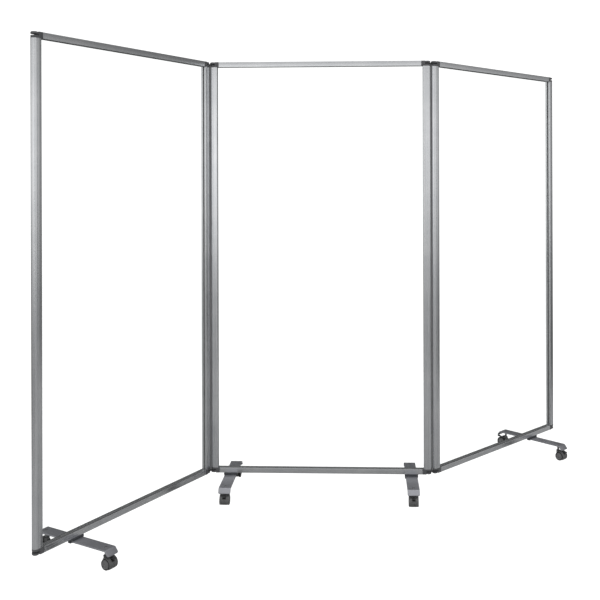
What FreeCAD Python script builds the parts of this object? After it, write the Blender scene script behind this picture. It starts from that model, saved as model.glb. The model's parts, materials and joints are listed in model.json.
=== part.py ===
"""Folding room divider on casters: three clear panels in aluminium frames, joined by double-pivot hinges.

Frame: millimetres, +Z up, the floor at Z = 0, +X along the centre section, -Y towards its front.
The origin is the middle of the space that the divider covers on the floor in its stored pose, the
left section folded forwards and the right section folded back.

Every section is modelled about its own middle: x along the section, y through its thickness and z
from the floor.
"""
import FreeCAD
import Part
import math
import os

from FreeCAD import Placement, Rotation, Vector

OUT = "parts"

DIMENSIONS = {
    # section frame
    "section_width": 940,
    "frame_bottom": 78,
    "frame_top": 1830,
    "nose_radius": 12.5,
    "stile_width": 32,
    "rail_height": 22,
    "rail_edge": 2.5,
    "wall": 1.6,
    "score_width": 1.0,
    "score_depth": 0.7,
    # panel and its gasket in the frame's groove
    "groove_width": 8,
    "groove_depth": 9,
    "panel_thickness": 4,
    "panel_bite": 7,
    # corner caps
    "cap_length": 39,
    "dome_edge": 5,
    "foot_start": 9,
    "notch_depth": 3.5,
    "foot_height": 8,
    "spigot_gap": 0.3,
    "stile_spigot": 30,
    "rail_spigot": 25,
    # double-pivot hinges
    "slot_height": 5.4,
    "slot_reach": 9.6,
    "pivot_spacing": 30.5,
    "pin_radius": 3,
    "pin_length": 18,
    "pin_recess": 0.6,
    "bore_radius": 3.08,
    "bore_depth": 19,
    "link_eye": 9,
    "link_thickness": 4.8,
    "strip_depth": 10,
    "strip_gap": 0.4,
    "strip_edge": 1.2,
    "left_fold": 62,
    "right_fold": 46.5,
    # legs
    "centre_leg_station": 385,
    "wing_leg_inset": 187,
    "leg_top": 70,
    "leg_thickness": 5,
    "leg_width": 50,
    "leg_half_length": 167.5,
    "skirt_length": 24,
    "skirt_slope": 52,
    "bend_radius": 9,
    "skirt_corner": 6,
    "clamp_depth": 28,
    "clamp_ear": 3,
    "clamp_ear_depth": 14,
    "clamp_ear_drop": 8,
    # caster stems
    "stem_station": 147,
    "stem_radius": 4.5,
    "stem_end": 24,
    "rivet_radius": 4,
    "rivet_recess": 0.4,
    "nut_radius": 6.5,
    "nut_height": 4,
    # casters, measured from the stem's axis
    "trail": 15,
    "wheel_radius": 19.5,
    "wheel_inner": 10.3,
    "wheel_outer": 19.8,
    "wheel_edge": 2.2,
    "hub_ring": 16,
    "hub_groove": 0.7,
    "axle_radius": 3,
    "axle_bore": 3.07,
    "web_half": 9.3,
    "web_radius": 18.5,
    "hood_radius": 22.8,
    "hood_skin": 2.5,
    "hood_foot": 5,
    "hood_back": 2,
    "socket_radius": 8.5,
    "socket_top": 43.5,
    "socket_floor": 22,
    "stem_bore": 4.57,
    "pocket_half": 6.5,
    "pocket_back": 19,
    "pocket_floor": 28,
    "brake_reach": 23,
    "brake_height": 34,
    "brake_pin": 1.3,
    "brake_bore": 1.37,
    "brake_barrel": 3.2,
    "brake_half": 6,
    "brake_tab_half": 8,
    "brake_length": 23,
    "brake_tab": 7,
    "brake_thickness": 2.6,
    "brake_rise": 12,
}

SIDES = {"left": -1, "right": 1}
ENDS = {"front": -1, "rear": 1}
ALONG_X = Rotation(Vector(0, 1, 0), 90)

doc = FreeCAD.newDocument("room_divider")


def make_sheet():
    """The driving dimensions, one alias per row."""
    table = doc.addObject("Spreadsheet::Sheet", "dims")
    for row, (alias, value) in enumerate(DIMENSIONS.items(), start=1):
        table.set(f"A{row}", alias)
        table.set(f"B{row}", str(value))
        table.setAlias(f"B{row}", alias)
    doc.recompute()
    return table


sheet = make_sheet()


def dim(alias):
    """A driving dimension as a plain number."""
    return float(sheet.get(alias))


# ---------------------------------------------------------------- building blocks

def bind(obj, **sizes):
    """Bind properties to expressions over the sheet; a double underscore stands for a dot."""
    for prop, expression in sizes.items():
        obj.setExpression(prop.replace("__", "."), str(expression))


def box(name, x, y, z):
    """A box from (low, high) expression pairs along each axis."""
    solid = doc.addObject("Part::Box", name)
    spans = {"Length": x, "Width": y, "Height": z}
    for size, (low, high) in spans.items():
        solid.setExpression(size, f"({high}) - ({low})")
    bind(solid, Placement__Base__x=x[0], Placement__Base__y=y[0], Placement__Base__z=z[0])
    return solid


def rod(name, radius, x="0", y="0", z=("0", "1")):
    """An upright cylinder at x, y over the span z."""
    solid = doc.addObject("Part::Cylinder", name)
    bind(solid, Radius=radius, Height=f"({z[1]}) - ({z[0]})")
    bind(solid, Placement__Base__x=x, Placement__Base__y=y, Placement__Base__z=z[0])
    return solid


def bar(name, radius, x, y="0", z="0"):
    """A cylinder lying along X over the span x, its axis at y, z."""
    solid = doc.addObject("Part::Cylinder", name)
    solid.Placement = Placement(Vector(), ALONG_X)
    bind(solid, Radius=radius, Height=f"({x[1]}) - ({x[0]})")
    bind(solid, Placement__Base__x=x[0], Placement__Base__y=y, Placement__Base__z=z)
    return solid


def fuse(name, *shapes):
    joined = doc.addObject("Part::MultiFuse", name)
    joined.Shapes = list(shapes)
    return joined


def common(name, *shapes):
    shared = doc.addObject("Part::MultiCommon", name)
    shared.Shapes = list(shapes)
    return shared


def cut(name, base, *tools):
    result = doc.addObject("Part::Cut", name)
    result.Base = base
    result.Tool = tools[0] if len(tools) == 1 else fuse(name + "_tools", *tools)
    return result


def group(name, pieces):
    """Several separate solids that share one node."""
    compound = doc.addObject("Part::Compound", name)
    compound.Links = pieces
    return compound


def round_edges(name, base, radius, chosen):
    """Fillet the edges of base for which chosen(edge) is true."""
    doc.recompute()
    rounded = doc.addObject("Part::Fillet", name)
    rounded.Base = base
    picks = [n for n, edge in enumerate(base.Shape.Edges, start=1) if chosen(edge)]
    if not picks:
        raise RuntimeError(f"{name}: no edge to round")
    rounded.Edges = [(n, radius, radius) for n in picks]
    return rounded


def new_body(name):
    return doc.addObject("PartDesign::Body", name)


def new_sketch(body, name, role):
    """A sketch on one of the body's own origin planes."""
    sketch = body.newObject("Sketcher::SketchObject", name)
    plane = next(item for item in body.Origin.OriginFeatures if item.Role == role)
    sketch.AttachmentSupport = [(plane, "")]
    sketch.MapMode = "FlatFace"
    return sketch


def draw(sketch, corners):
    """A closed outline. A corner is (x, y), or (x, y, bulge) with an arc's midpoint on the way on."""
    count = len(corners)
    for n, corner in enumerate(corners):
        start = Vector(corner[0], corner[1], 0)
        following = corners[(n + 1) % count]
        end = Vector(following[0], following[1], 0)
        if len(corner) == 3:
            sketch.addGeometry(Part.Arc(start, Vector(*corner[2], 0), end), False)
        else:
            sketch.addGeometry(Part.LineSegment(start, end), False)


def pad(body, sketch, length, midplane=False):
    feature = body.newObject("PartDesign::Pad", sketch.Name + "_pad")
    feature.Profile = sketch
    feature.Midplane = midplane
    feature.setExpression("Length", length)
    return feature


nodes = []


def finish_node(obj, label, place):
    """Give a sub-part its own label and place, and list it for export."""
    obj.Label = label
    obj.Placement = place.multiply(obj.Placement)
    nodes.append(obj)


# ---------------------------------------------------------------- section frames

def stile_outline():
    """A stile's outline about its nose centre, the panel's side towards +x, and its inner cavity."""
    nose = dim("nose_radius")
    face = dim("stile_width") - nose
    half_groove = dim("groove_width") / 2
    floor = face - dim("groove_depth")
    start = dim("score_width")
    end = 2 * dim("score_width")
    depth = nose - dim("score_depth")
    side = [(start, depth), (end, depth), (end, nose), (face, nose), (face, half_groove),
            (floor, half_groove)]
    far_side = [(x, -y) for x, y in reversed(side)]
    outer = [(0, -nose, (-nose, 0)), (0, nose), (start, nose)] + side + far_side + [(start, -nose)]
    inner_radius = nose - dim("wall") - dim("score_depth")
    inner_end = floor - dim("wall")
    cavity = [(0, -inner_radius, (-inner_radius, 0)), (0, inner_radius), (inner_end, inner_radius),
              (inner_end, -inner_radius)]
    return outer, cavity


def make_stile(name, side, place):
    """An upright extrusion: rounded nose outside, groove for the panel inside, hollow behind it."""
    body = new_body(name)
    sketch = new_sketch(body, name + "_section", "XY_Plane")
    for outline in stile_outline():
        draw(sketch, outline)
    pad(body, sketch, "dims.frame_top - dims.frame_bottom - 2 * dims.rail_height")
    turn = 180 if side > 0 else 0
    nose_centre = side * (dim("section_width") / 2 - dim("nose_radius"))
    base = Vector(nose_centre, 0, dim("frame_bottom") + dim("rail_height"))
    body.Placement = Placement(base, Rotation(turn, 0, 0))
    finish_node(body, name, place)


def rail_outline():
    """Closed outline of the bottom rail in y and z from its underside, and its inner cavity."""
    half = dim("nose_radius")
    height = dim("rail_height")
    edge = dim("rail_edge")
    inset = edge * (1 - math.sqrt(0.5))
    half_groove = dim("groove_width") / 2
    floor = height - dim("groove_depth")
    outer = [(-half, edge, (inset - half, inset)), (edge - half, 0),
             (half - edge, 0, (half - inset, inset)), (half, edge), (half, height), (half_groove, height),
             (half_groove, floor), (-half_groove, floor), (-half_groove, height), (-half, height)]
    wall = dim("wall")
    cavity = [(wall - half, edge), (edge - half, wall), (half - edge, wall), (half - wall, edge),
              (half - wall, floor - wall), (wall - half, floor - wall)]
    return outer, cavity


def make_rail(name, level, place):
    """A level extrusion between two corner caps; the top rail is the bottom rail turned over."""
    body = new_body(name)
    sketch = new_sketch(body, name + "_section", "YZ_Plane")
    for outline in rail_outline():
        draw(sketch, outline)
    pad(body, sketch, "dims.section_width - 2 * dims.cap_length", midplane=True)
    if level == "top":
        body.Placement = Placement(Vector(0, 0, dim("frame_top")), Rotation(Vector(1, 0, 0), 180))
    else:
        body.Placement = Placement(Vector(0, 0, dim("frame_bottom")), Rotation())
    finish_node(body, name, place)


def make_cap(name):
    """A bottom left corner cap about its hinge bore: domed column, arm to the rail, two spigots."""
    nose = "dims.nose_radius"
    height = "dims.rail_height"
    arm_end = "dims.cap_length - dims.nose_radius"
    column = rod(name + "_column", nose, z=("0", height))
    domed = round_edges(name + "_dome", column, dim("dome_edge"),
                        lambda edge: edge.BoundBox.ZMax < 0.01 and edge.Closed)
    arm = box(name + "_arm", ("0", arm_end), (f"-{nose}", nose), ("dims.notch_depth", height))
    foot = box(name + "_foot", ("dims.foot_start", arm_end), (f"-{nose}", nose), ("0", "dims.foot_height"))
    rounded_foot = round_edges(name + "_toe", foot, dim("rail_edge"),
                               lambda edge: edge.BoundBox.ZMax < 0.01
                               and edge.CenterOfMass.x < dim("cap_length") - dim("nose_radius") - 0.1)
    rail_box = box(name + "_rail_spigot", (arm_end, f"{arm_end} + dims.rail_spigot"),
                   ("dims.wall + dims.spigot_gap - dims.nose_radius",
                    "dims.nose_radius - dims.wall - dims.spigot_gap"),
                   ("dims.rail_edge + dims.spigot_gap",
                    "dims.rail_height - dims.groove_depth - dims.wall - dims.spigot_gap"))
    spigot_rod = rod(name + "_spigot_rod",
                     "dims.nose_radius - dims.wall - dims.score_depth - dims.spigot_gap",
                     z=(height, f"{height} + dims.stile_spigot"))
    spigot_box = box(name + "_spigot_box",
                     (f"-{nose}", "dims.stile_width - dims.nose_radius - dims.groove_depth - dims.wall"
                      " - dims.spigot_gap"),
                     (f"-{nose}", nose), (height, f"{height} + dims.stile_spigot"))
    stile_plug = common(name + "_stile_spigot", spigot_rod, spigot_box)
    solid = fuse(name + "_solid", domed, arm, rounded_foot, rail_box, stile_plug)
    slot = box(name + "_slot", (f"-2 * {nose}", "dims.slot_reach"), (f"-2 * {nose}", f"2 * {nose}"),
               (f"{height} / 2 - dims.slot_height / 2", f"{height} / 2 + dims.slot_height / 2"))
    bore = rod(name + "_bore", "dims.bore_radius", z=("0", "dims.bore_depth"))
    groove = box(name + "_groove",
                 (f"dims.stile_width - {nose} - dims.groove_depth", f"{arm_end} + dims.rail_spigot"),
                 ("-dims.groove_width / 2", "dims.groove_width / 2"),
                 ("dims.rail_height - dims.groove_depth", height))
    return cut(name, solid, slot, bore, groove)


def make_caps(name, place):
    """The four corner caps of a section; the same moulding turned to suit each corner."""
    nose_centre = dim("section_width") / 2 - dim("nose_radius")
    caps = []
    for side_name, side in SIDES.items():
        for level in ("bottom", "top"):
            cap = make_cap(f"{name}_{side_name}_{level}")
            flip = level == "top"
            turn = Rotation(180 if (side > 0) != flip else 0, 0, 0)
            if flip:
                turn = Rotation(Vector(0, 1, 0), 180).multiply(turn)
            base = Vector(side * nose_centre, 0, dim("frame_top") if flip else dim("frame_bottom"))
            cap.Placement = Placement(base, turn)
            caps.append(cap)
    finish_node(group(name, caps), name, place)


def make_panel(name, place):
    """The clear sheet, its edges held in the frame's groove."""
    reach = "(dims.section_width / 2 - dims.stile_width + dims.panel_bite)"
    sheet_box = box(name + "_sheet", (f"-{reach}", reach),
                    ("-dims.panel_thickness / 2", "dims.panel_thickness / 2"),
                    ("dims.frame_bottom + dims.rail_height - dims.panel_bite",
                     "dims.frame_top - dims.rail_height + dims.panel_bite"))
    finish_node(group(name + "_group", [sheet_box]), name, place)


def make_gasket(name, place):
    """Four channel strips that fill the groove round the panel's edge."""
    outer = "(dims.section_width / 2 - dims.stile_width + dims.groove_depth)"
    inner = "(dims.section_width / 2 - dims.stile_width)"
    low = "(dims.frame_bottom + dims.rail_height)"
    high = "(dims.frame_top - dims.rail_height)"
    half = ("-dims.groove_width / 2", "dims.groove_width / 2")
    spans = {
        "left": ((f"-{outer}", f"-{inner}"), (low, high)),
        "right": ((inner, outer), (low, high)),
        "bottom": ((f"-{outer}", outer), (f"{low} - dims.groove_depth", low)),
        "top": ((f"-{outer}", outer), (high, f"{high} + dims.groove_depth")),
    }
    reach = "(dims.section_width / 2 - dims.stile_width + dims.panel_bite)"
    strips = []
    for edge, (x, z) in spans.items():
        strip = box(f"{name}_{edge}_blank", x, half, z)
        channel = box(f"{name}_{edge}_channel", (f"-{reach}", reach),
                      ("-dims.panel_thickness / 2", "dims.panel_thickness / 2"),
                      (f"{low} - dims.panel_bite", f"{high} + dims.panel_bite"))
        strips.append(cut(f"{name}_{edge}", strip, channel))
    finish_node(group(name, strips), name, place)


# ---------------------------------------------------------------- hinges

def make_link_plate(name, low):
    """A dog-bone plate between two pivots, its first eye on the origin and its second along +x."""
    z = (low, f"{low} + dims.link_thickness")
    eyes = [rod(f"{name}_eye_{n}", "dims.link_eye", x=f"{n} * dims.pivot_spacing", z=z) for n in (0, 1)]
    neck = box(name + "_neck", ("0", "dims.pivot_spacing"), ("-dims.link_eye", "dims.link_eye"), z)
    holes = [rod(f"{name}_hole_{n}", "dims.pin_radius", x=f"{n} * dims.pivot_spacing", z=z) for n in (0, 1)]
    return cut(name, fuse(name + "_blank", neck, *eyes), *holes)


def make_hinge(name, place):
    """One double-pivot hinge: two link plates, the strip that closes the gap, and four pins."""
    inset = "(dims.rail_height - dims.link_thickness) / 2"
    lower = f"dims.frame_bottom + {inset}"
    upper = f"dims.frame_top - {inset} - dims.link_thickness"
    plates = [make_link_plate(f"{name}_plate_bottom", lower), make_link_plate(f"{name}_plate_top", upper)]
    finish_node(group(name + "_links", plates), name + "_links", place)

    clear = "(dims.nose_radius + dims.strip_gap)"
    half = "dims.strip_depth / 2"
    blank = box(name + "_strip_blank", (clear, f"dims.pivot_spacing - {clear}"), (f"-{half}", half),
                (f"{lower} + dims.link_thickness", upper))
    strip = round_edges(name + "_rounded_strip", blank, dim("strip_edge"),
                        lambda edge: edge.BoundBox.ZLength > 1)
    finish_node(strip, name + "_gap_strip", place)

    bottom = "dims.frame_bottom + dims.pin_recess"
    top = "dims.frame_top - dims.pin_recess"
    spans = {"bottom": (bottom, f"{bottom} + dims.pin_length"), "top": (f"{top} - dims.pin_length", top)}
    pins = []
    for n in (0, 1):
        for level, z in spans.items():
            pins.append(rod(f"{name}_pin_{level}_{n}", "dims.pin_radius", f"{n} * dims.pivot_spacing", z=z))
    finish_node(group(name + "_pins", pins), name + "_pins", place)


# ---------------------------------------------------------------- legs

def leg_outline():
    """Side view of the leg strip, y and z: flat in the middle, both ends bent down into skirts."""
    slope = math.radians(dim("skirt_slope"))
    along = (math.cos(slope), -math.sin(slope))
    outward = (math.sin(slope), math.cos(slope))
    top = dim("leg_top")
    thick = dim("leg_thickness")
    outer_radius = dim("bend_radius")
    inner_radius = outer_radius - thick
    corner = dim("leg_half_length")
    length = dim("skirt_length")
    centre = (corner - outer_radius * math.tan(slope / 2), top - outer_radius)
    tip = (corner + length * along[0], top + length * along[1])
    inner_tip = (tip[0] - thick * outward[0], tip[1] - thick * outward[1])
    middle = (math.sin(slope / 2), math.cos(slope / 2))

    def on_bend(radius, direction):
        return (centre[0] + radius * direction[0], centre[1] + radius * direction[1])

    right_top = [(centre[0], top, on_bend(outer_radius, middle)), on_bend(outer_radius, outward), tip,
                 inner_tip, on_bend(inner_radius, outward) + (on_bend(inner_radius, middle),),
                 (centre[0], top - thick)]
    left = []
    for n in range(len(right_top) - 1, -1, -1):
        y, z = right_top[n][:2]
        before = right_top[n - 1]
        if n > 0 and len(before) == 3:
            left.append((-y, z, (-before[2][0], before[2][1])))
        else:
            left.append((-y, z))
    return right_top + left


def make_leg(name):
    """A bent steel strip across the section, with a hole for each caster stem."""
    body = new_body(name)
    sketch = new_sketch(body, name + "_side", "YZ_Plane")
    draw(sketch, leg_outline())
    strip = pad(body, sketch, "dims.leg_width", midplane=True)
    doc.recompute()
    skirt_edges = [
        f"Edge{n}" for n, edge in enumerate(strip.Shape.Edges, start=1)
        if edge.BoundBox.ZMax < dim("leg_top") - dim("bend_radius") and edge.BoundBox.XLength < 0.01
        and abs(edge.Length - dim("leg_thickness")) < 0.01
    ]
    corners = body.newObject("PartDesign::Fillet", name + "_corners")
    corners.Base = (strip, skirt_edges)
    corners.setExpression("Radius", "dims.skirt_corner")
    doc.recompute()
    holes = new_sketch(body, name + "_holes", "XY_Plane")
    for end in ENDS.values():
        centre = Vector(0, end * dim("stem_station"), 0)
        holes.addGeometry(Part.Circle(centre, Vector(0, 0, 1), dim("rivet_radius")), False)
    drilled = body.newObject("PartDesign::Pocket", name + "_drilled")
    drilled.Profile = holes
    drilled.Type = "ThroughAll"
    drilled.Midplane = True
    doc.recompute()
    if drilled.Shape.Volume > corners.Shape.Volume - 1:
        raise RuntimeError(f"{name}: the stem holes cut nothing")
    return body


def make_clamp(name):
    """The saddle between a leg and the rail above it, with an ear each side of the strip."""
    half = "dims.leg_width / 2"
    saddle = box(name + "_saddle", (f"-{half} - dims.clamp_ear", f"{half} + dims.clamp_ear"),
                 ("-dims.clamp_depth / 2", "dims.clamp_depth / 2"), ("dims.leg_top", "dims.frame_bottom"))
    ears = []
    for side_name, side in SIDES.items():
        inner = f"{side} * {half}"
        outer = f"{side} * ({half} + dims.clamp_ear)"
        span = (outer, inner) if side < 0 else (inner, outer)
        ears.append(box(f"{name}_ear_{side_name}", span,
                        ("-dims.clamp_ear_depth / 2", "dims.clamp_ear_depth / 2"),
                        ("dims.leg_top - dims.clamp_ear_drop", "dims.frame_bottom")))
    return fuse(name, saddle, *ears)


def make_stem(name, end):
    """A caster stem riveted through the leg, with a lock nut under it."""
    y = f"{end} * dims.stem_station"
    under = "dims.leg_top - dims.leg_thickness"
    rivet = rod(name + "_rivet", "dims.rivet_radius", y=y, z=(under, "dims.leg_top - dims.rivet_recess"))
    nut = doc.addObject("Part::Prism", name + "_nut")
    nut.Polygon = 6
    bind(nut, Circumradius="dims.nut_radius", Height="dims.nut_height", Placement__Base__y=y,
         Placement__Base__z=f"{under} - dims.nut_height")
    shaft = rod(name + "_shaft", "dims.stem_radius", y=y, z=("dims.stem_end", under))
    return fuse(name, rivet, nut, shaft)


def make_legs(section, stations, place):
    """The legs, clamps and caster stems of one section; stations are the legs' places along it."""
    legs, clamps, stems = [], [], []
    for key, x in stations.items():
        shift = Placement(Vector(x, 0, 0), Rotation())
        leg = make_leg(f"{section}_{key}_leg")
        clamp = make_clamp(f"{section}_{key}_clamp")
        pair = [make_stem(f"{section}_{key}_stem_{end_name}", end) for end_name, end in ENDS.items()]
        for piece in [leg, clamp] + pair:
            piece.Placement = shift.multiply(piece.Placement)
        legs.append(leg)
        clamps.append(clamp)
        stems += pair
    plural = "s" if len(stations) > 1 else ""
    finish_node(group(f"{section}_leg_group", legs), f"{section}_leg{plural}", place)
    finish_node(group(f"{section}_clamp_group", clamps), f"{section}_leg_clamp{plural}", place)
    finish_node(group(f"{section}_stem_group", stems), f"{section}_caster_stems", place)


# ---------------------------------------------------------------- casters
# A caster is modelled about its stem's axis, its brake pointing along +y.

def make_hood(name):
    """The swivelling body: a web between the wheels, a cover over their front, and the stem's socket."""
    web = ("-dims.web_half", "dims.web_half")
    wide = ("-dims.wheel_outer", "dims.wheel_outer")
    axle = {"y": "dims.trail", "z": "dims.wheel_radius"}
    tall = ("dims.hood_foot", "dims.socket_top")
    drum = bar(name + "_drum", "dims.hood_radius", wide, **axle)
    wells = []
    for side_name, side in SIDES.items():
        span = (f"{side} * dims.web_half", f"{side} * 2 * dims.wheel_outer")
        span = span if side > 0 else span[::-1]
        wells.append(bar(f"{name}_well_{side_name}", "dims.hood_radius - dims.hood_skin", span, **axle))
    front_space = box(name + "_front_space", wide,
                      ("dims.hood_back", "2 * dims.hood_radius + dims.trail"), tall)
    front = common(name + "_front", cut(name + "_cover", drum, *wells), front_space)
    disc = bar(name + "_disc", "dims.web_radius", web, **axle)
    rear_space = box(name + "_rear_space", web, ("-2 * dims.hood_radius", "2 * dims.hood_radius"), tall)
    rear = common(name + "_rear", disc, rear_space)
    socket = rod(name + "_socket", "dims.socket_radius", z=("dims.wheel_radius", "dims.socket_top"))
    solid = fuse(name + "_solid", front, rear, socket)
    stem_bore = rod(name + "_stem_bore", "dims.stem_bore", z=("dims.socket_floor", "2 * dims.socket_top"))
    axle_bore = bar(name + "_axle_bore", "dims.axle_bore", wide, **axle)
    pocket = box(name + "_pocket", ("-dims.pocket_half", "dims.pocket_half"),
                 ("dims.pocket_back", "3 * dims.pocket_back"),
                 ("dims.pocket_floor", "2 * dims.pocket_floor"))
    hollowed = cut(name + "_hollowed", solid, stem_bore, axle_bore, pocket)
    pin = bar(name + "_brake_pin", "dims.brake_pin", web, y="dims.brake_reach", z="dims.brake_height")
    return fuse(name, hollowed, pin)


def make_wheel(name, side):
    """One wheel: rounded tread edges and a ring groove in its outer face."""
    span = (f"{side} * dims.wheel_inner", f"{side} * dims.wheel_outer")
    span = span if side > 0 else span[::-1]
    disc = bar(name + "_disc", "dims.wheel_radius", span, y="dims.trail", z="dims.wheel_radius")
    tread = round_edges(name + "_tread", disc, dim("wheel_edge"), lambda edge: edge.Closed)
    ring = doc.addObject("Part::Torus", name + "_ring")
    ring.Placement = Placement(Vector(), ALONG_X)
    bind(ring, Radius1="dims.hub_ring", Radius2="dims.hub_groove", Placement__Base__y="dims.trail",
         Placement__Base__x=f"{side} * dims.wheel_outer", Placement__Base__z="dims.wheel_radius")
    hole = bar(name + "_hole", "dims.axle_radius", span, y="dims.trail", z="dims.wheel_radius")
    return cut(name, tread, ring, hole)


def make_wheels(name):
    """Two wheels pressed on one axle."""
    wheels = [make_wheel(f"{name}_{side_name}", side) for side_name, side in SIDES.items()]
    axle = bar(name + "_axle", "dims.axle_radius", ("-dims.wheel_outer + 1", "dims.wheel_outer - 1"),
               y="dims.trail", z="dims.wheel_radius")
    return group(name, wheels + [axle])


def make_brake(name):
    """The brake pedal: a barrel on the hood's pin and an arm that ends in a wider tab."""
    half = ("-dims.brake_half", "dims.brake_half")
    barrel = bar(name + "_barrel", "dims.brake_barrel", half)
    arm = box(name + "_arm", half, ("0", "dims.brake_length"),
              ("dims.brake_barrel - dims.brake_thickness", "dims.brake_barrel"))
    tab = box(name + "_tab", ("-dims.brake_tab_half", "dims.brake_tab_half"),
              ("dims.brake_length - dims.brake_tab", "dims.brake_length"),
              ("dims.brake_barrel - dims.brake_thickness", "dims.brake_barrel"))
    bore = bar(name + "_bore", "dims.brake_bore", half)
    pedal = cut(name, fuse(name + "_solid", barrel, arm, tab), bore)
    pivot = Vector(0, dim("brake_reach"), dim("brake_height"))
    pedal.Placement = Placement(pivot, Rotation(Vector(1, 0, 0), dim("brake_rise")))
    return pedal


def make_casters(section, stations, place):
    """A caster under each end of each leg, its brake pointing away from the section."""
    for key, x in stations.items():
        for end_name, end in ENDS.items():
            where = f"{section}_{key}_{end_name}" if len(stations) > 1 else f"{section}_{end_name}"
            turn = Rotation(180 if end < 0 else 0, 0, 0)
            stem = place.multiply(Placement(Vector(x, end * dim("stem_station"), 0), turn))
            makers = {"hood": make_hood, "wheels": make_wheels, "brake": make_brake}
            for part, maker in makers.items():
                label = f"caster_{part}_{where}"
                finish_node(maker(label), label, stem)


# ---------------------------------------------------------------- assembly

def section_places():
    """Where each section and each hinge stands, with the centre section's middle on the origin."""
    nose_centre = dim("section_width") / 2 - dim("nose_radius")
    places = {"centre": Placement()}
    for side_name, side in SIDES.items():
        fold = dim(side_name + "_fold")
        fixed_pivot = Vector(side * nose_centre, 0, 0)
        half_turn = Rotation(fold / 2, 0, 0)
        full_turn = Rotation(fold, 0, 0)
        moving_pivot = fixed_pivot + half_turn.multVec(Vector(side * dim("pivot_spacing"), 0, 0))
        middle = moving_pivot + full_turn.multVec(Vector(side * nose_centre, 0, 0))
        places[side_name + "_wing"] = Placement(middle, full_turn)
        facing = half_turn if side > 0 else half_turn.multiply(Rotation(180, 0, 0))
        places[side_name + "_hinge"] = Placement(fixed_pivot, facing)
    return places


def leg_stations():
    """Places of the legs along each section."""
    near_end = dim("section_width") / 2 - dim("wing_leg_inset")
    return {
        "centre": {name: side * dim("centre_leg_station") for name, side in SIDES.items()},
        "left_wing": {"outer": -near_end},
        "right_wing": {"outer": near_end},
    }


def build():
    places = section_places()
    for section, stations in leg_stations().items():
        place = places[section]
        for side_name, side in SIDES.items():
            make_stile(f"{section}_{side_name}_stile", side, place)
        for level in ("top", "bottom"):
            make_rail(f"{section}_{level}_rail", level, place)
        make_caps(f"{section}_corner_caps", place)
        make_panel(f"{section}_panel", place)
        make_gasket(f"{section}_gasket", place)
        make_legs(section, stations, place)
        make_casters(section, stations, place)
    for side_name in SIDES:
        make_hinge(f"{side_name}_hinge", places[side_name + "_hinge"])
    doc.recompute()


def centre_on_floor():
    """Shift every sub-part so that the origin is the middle of the divider's box on the floor."""
    space = FreeCAD.BoundBox()
    for node in nodes:
        space.add(node.Shape.optimalBoundingBox(False))
    shift = Placement(Vector(-space.Center.x, -space.Center.y, 0), Rotation())
    for node in nodes:
        node.Placement = shift.multiply(node.Placement)
    doc.recompute()
    print(f"box {space.XLength:.1f} x {space.YLength:.1f} x {space.ZLength:.1f} mm")
    print(f"centre section's middle at x {-space.Center.x:.3f}, y {-space.Center.y:.3f}")


def check_and_export():
    """Stop on any failed feature or bad shape, then write one file per sub-part."""
    for obj in doc.Objects:
        bad = {"Invalid", "Error"} & set(obj.State)
        if bad:
            raise RuntimeError(f"{obj.Label}: {bad}")
    for node in nodes:
        if node.Shape.isNull() or not node.Shape.isValid():
            raise RuntimeError(f"{node.Label}: bad shape")
        if not node.Shape.Solids:
            raise RuntimeError(f"{node.Label}: no solid")
        if node.Label[-1].isdigit():
            raise RuntimeError(f"{node.Label}: another object holds this label")
    os.makedirs(OUT, exist_ok=True)
    for node in nodes:
        node.Shape.exportStep(f"{OUT}/{node.Label}.step")
    print(f"{len(nodes)} sub-parts, {sum(len(node.Shape.Solids) for node in nodes)} solids")


build()
centre_on_floor()
check_and_export()
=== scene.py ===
"""Looks for a folding room divider: framed clear panels, hinges, bent legs and twin-wheel casters.

Shapes are worked out in millimetres about their own origin and become metres in new_mesh.
Places are in metres, in the frame of the CAD model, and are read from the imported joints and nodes.
Each section has its own axes: x along it, y through its thickness, z up.
"""

import json
import math

import bmesh
import bpy
from mathutils import Matrix, Vector


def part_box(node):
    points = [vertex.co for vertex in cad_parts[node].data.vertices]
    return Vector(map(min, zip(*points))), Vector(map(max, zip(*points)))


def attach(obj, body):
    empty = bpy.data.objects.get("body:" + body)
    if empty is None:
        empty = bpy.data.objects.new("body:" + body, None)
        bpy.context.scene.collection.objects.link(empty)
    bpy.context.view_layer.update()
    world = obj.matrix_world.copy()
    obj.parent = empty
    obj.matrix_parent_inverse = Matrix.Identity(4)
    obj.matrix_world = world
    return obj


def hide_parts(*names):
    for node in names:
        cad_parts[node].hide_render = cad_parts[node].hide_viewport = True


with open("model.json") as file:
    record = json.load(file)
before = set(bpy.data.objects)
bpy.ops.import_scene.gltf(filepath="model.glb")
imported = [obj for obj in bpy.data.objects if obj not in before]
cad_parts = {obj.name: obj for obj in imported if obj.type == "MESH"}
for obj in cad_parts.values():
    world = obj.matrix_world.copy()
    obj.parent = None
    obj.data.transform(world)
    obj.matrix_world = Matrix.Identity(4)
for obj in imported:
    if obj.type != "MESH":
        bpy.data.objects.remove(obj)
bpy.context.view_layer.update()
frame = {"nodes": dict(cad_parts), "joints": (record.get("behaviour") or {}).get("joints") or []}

MM = 0.001

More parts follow.
